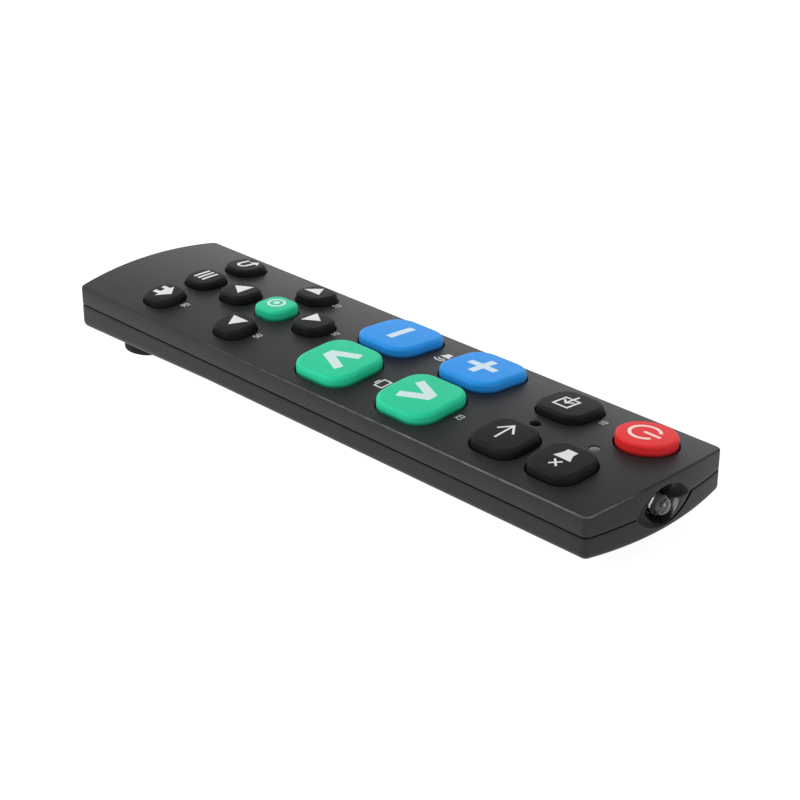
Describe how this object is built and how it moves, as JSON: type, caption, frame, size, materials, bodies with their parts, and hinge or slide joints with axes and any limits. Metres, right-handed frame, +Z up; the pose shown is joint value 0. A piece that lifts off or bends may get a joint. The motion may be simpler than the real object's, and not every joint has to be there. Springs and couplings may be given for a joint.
{
  "type": "universal remote control",
  "caption": "Slim hand-held infrared remote control with large coloured rubber keys, a lamp in the nose, round rear feet and a sliding battery cover under a low hump.",
  "frame": {"origin": "on the table, under the middle of the box around the handset", "axes": "+Y along the case towards the infrared lamp, +X to the right as seen by the user, +Z up through the keys"},
  "size_m": [0.046, 0.1802, 0.0207],
  "materials": {
    "case_plastic": "fine spark-eroded texture, charcoal",
    "black_silicone": "soft matte silicone rubber",
    "red_silicone": "soft matte silicone rubber",
    "blue_silicone": "soft matte silicone rubber",
    "green_silicone": "soft matte silicone rubber",
    "carbon": "conductive carbon rubber",
    "rubber": "matte moulded rubber",
    "board": "solder-masked laminate",
    "copper": "plated copper",
    "lamp_epoxy": "clear smoky epoxy",
    "lens_plastic": "frosted light guide",
    "steel": "nickel-plated steel",
    "chip_epoxy": "moulded epoxy",
    "ceramic": "dipped ceramic",
    "can_sleeve": "shrink sleeve",
    "cell_label": null
  },
  "bodies": {
    "case": {"top_case": "case_plastic", "bottom_case": "case_plastic", "rubber_feet": "rubber", "case_screws": "steel", "keypad_mat": "black_silicone", "circuit_board": "board", "contact_pads": "copper", "ir_led": "lamp_epoxy", "ir_led_legs": "steel", "indicator_led": "lens_plastic", "indicator_lens": "lens_plastic", "controller_chip": "chip_epoxy", "controller_legs": "steel", "resonator": "ceramic", "can_capacitor": "can_sleeve", "driver_transistor": "chip_epoxy", "chip_resistors": "chip_epoxy", "chip_capacitors": "ceramic", "battery_left": "cell_label", "battery_right": "cell_label", "bridge_plate": "steel", "plus_plate": "steel", "minus_plate": "steel", "bridge_spring": "steel", "minus_spring": "steel"},
    "battery_cover": {"battery_cover": "case_plastic"},
    "key_power": {"key_power": "red_silicone", "pill_power": "carbon"},
    "key_mute": {"key_mute": "black_silicone", "pill_mute": "carbon"},
    "key_source": {"key_source": "black_silicone", "pill_source": "carbon"},
    "key_recall": {"key_recall": "black_silicone", "pill_recall": "carbon"},
    "key_volume_up": {"key_volume_up": "blue_silicone", "pill_volume_up": "carbon"},
    "key_volume_down": {"key_volume_down": "blue_silicone", "pill_volume_down": "carbon"},
    "key_channel_up": {"key_channel_up": "green_silicone", "pill_channel_up": "carbon"},
    "key_channel_down": {"key_channel_down": "green_silicone", "pill_channel_down": "carbon"},
    "key_up": {"key_up": "black_silicone", "pill_up": "carbon"},
    "key_down": {"key_down": "black_silicone", "pill_down": "carbon"},
    "key_left": {"key_left": "black_silicone", "pill_left": "carbon"},
    "key_right": {"key_right": "black_silicone", "pill_right": "carbon"},
    "key_ok": {"key_ok": "green_silicone", "pill_ok": "carbon"},
    "key_back": {"key_back": "black_silicone", "pill_back": "carbon"},
    "key_menu": {"key_menu": "black_silicone", "pill_menu": "carbon"},
    "key_home": {"key_home": "black_silicone", "pill_home": "carbon"}
  },
  "joints": [
    {"name": "cover_slide", "type": "slide", "parent": "case", "child": "battery_cover", "axis": [0, 1, 0], "range_m": [0, 0.055]},
    {"name": "power_press", "type": "slide", "parent": "case", "child": "key_power", "axis": [0, 0, -1], "range_m": [0, 0.0009], "stiffness_N_per_m": 1200},
    {"name": "mute_press", "type": "slide", "parent": "case", "child": "key_mute", "axis": [0, 0, -1], "range_m": [0, 0.0009], "stiffness_N_per_m": 1200},
    {"name": "source_press", "type": "slide", "parent": "case", "child": "key_source", "axis": [0, 0, -1], "range_m": [0, 0.0009], "stiffness_N_per_m": 1200},
    {"name": "recall_press", "type": "slide", "parent": "case", "child": "key_recall", "axis": [0, 0, -1], "range_m": [0, 0.0009], "stiffness_N_per_m": 1200},
    {"name": "volume_up_press", "type": "slide", "parent": "case", "child": "key_volume_up", "axis": [0, 0, -1], "range_m": [0, 0.0009], "stiffness_N_per_m": 1200},
    {"name": "volume_down_press", "type": "slide", "parent": "case", "child": "key_volume_down", "axis": [0, 0, -1], "range_m": [0, 0.0009], "stiffness_N_per_m": 1200},
    {"name": "channel_up_press", "type": "slide", "parent": "case", "child": "key_channel_up", "axis": [0, 0, -1], "range_m": [0, 0.0009], "stiffness_N_per_m": 1200},
    {"name": "channel_down_press", "type": "slide", "parent": "case", "child": "key_channel_down", "axis": [0, 0, -1], "range_m": [0, 0.0009], "stiffness_N_per_m": 1200},
    {"name": "up_press", "type": "slide", "parent": "case", "child": "key_up", "axis": [0, 0, -1], "range_m": [0, 0.0009], "stiffness_N_per_m": 1200},
    {"name": "down_press", "type": "slide", "parent": "case", "child": "key_down", "axis": [0, 0, -1], "range_m": [0, 0.0009], "stiffness_N_per_m": 1200},
    {"name": "left_press", "type": "slide", "parent": "case", "child": "key_left", "axis": [0, 0, -1], "range_m": [0, 0.0009], "stiffness_N_per_m": 1200},
    {"name": "right_press", "type": "slide", "parent": "case", "child": "key_right", "axis": [0, 0, -1], "range_m": [0, 0.0009], "stiffness_N_per_m": 1200},
    {"name": "ok_press", "type": "slide", "parent": "case", "child": "key_ok", "axis": [0, 0, -1], "range_m": [0, 0.0009], "stiffness_N_per_m": 1200},
    {"name": "back_press", "type": "slide", "parent": "case", "child": "key_back", "axis": [0, 0, -1], "range_m": [0, 0.0009], "stiffness_N_per_m": 1200},
    {"name": "menu_press", "type": "slide", "parent": "case", "child": "key_menu", "axis": [0, 0, -1], "range_m": [0, 0.0009], "stiffness_N_per_m": 1200},
    {"name": "home_press", "type": "slide", "parent": "case", "child": "key_home", "axis": [0, 0, -1], "range_m": [0, 0.0009], "stiffness_N_per_m": 1200}
  ]
}
